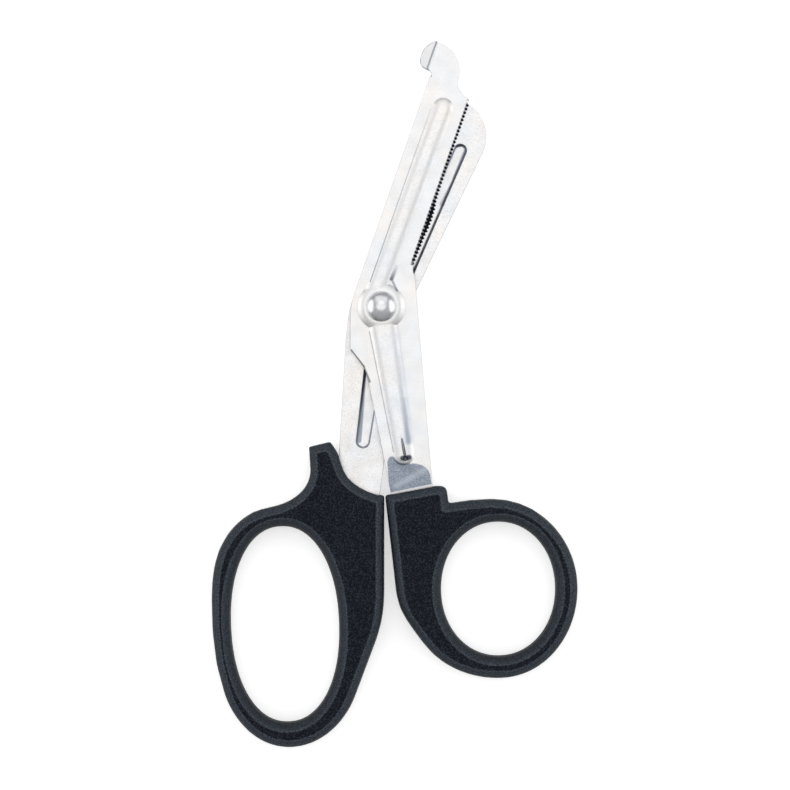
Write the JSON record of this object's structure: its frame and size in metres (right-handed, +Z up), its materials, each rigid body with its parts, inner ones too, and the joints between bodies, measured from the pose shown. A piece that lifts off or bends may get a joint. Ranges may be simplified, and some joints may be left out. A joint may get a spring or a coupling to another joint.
{
  "type": "bandage scissors",
  "caption": "Angled bandage scissors: pressed steel blades with a blunt foot and a serrated edge on a rivet, with moulded plastic finger and thumb loops.",
  "frame": {"origin": "on the pivot's axis, at the height of the surface that the closed scissors lie on, which the flat end of the rivet's tail all but touches", "axes": "+Z up, away from that surface, along the pivot; +Y from the handles towards the jaws; +X towards the thumb loop"},
  "size_m": [0.0958, 0.1849, 0.0093],
  "materials": {
    "blade_steel": "satin pressed stainless sheet",
    "rivet_steel": "polished",
    "handle_plastic": "fine grained black moulding"
  },
  "bodies": {
    "back_half": {"back_blade": "blade_steel", "finger_handle": "handle_plastic", "pivot_rivet": "rivet_steel", "rivet_washer": "rivet_steel"},
    "front_half": {"front_blade": "blade_steel", "thumb_handle": "handle_plastic"}
  },
  "joints": [
    {"name": "pivot", "type": "hinge", "parent": "back_half", "child": "front_half", "pos_m": [0, 0, 0.0045], "axis": [0, 0, 1], "range_deg": [0, 100]}
  ]
}
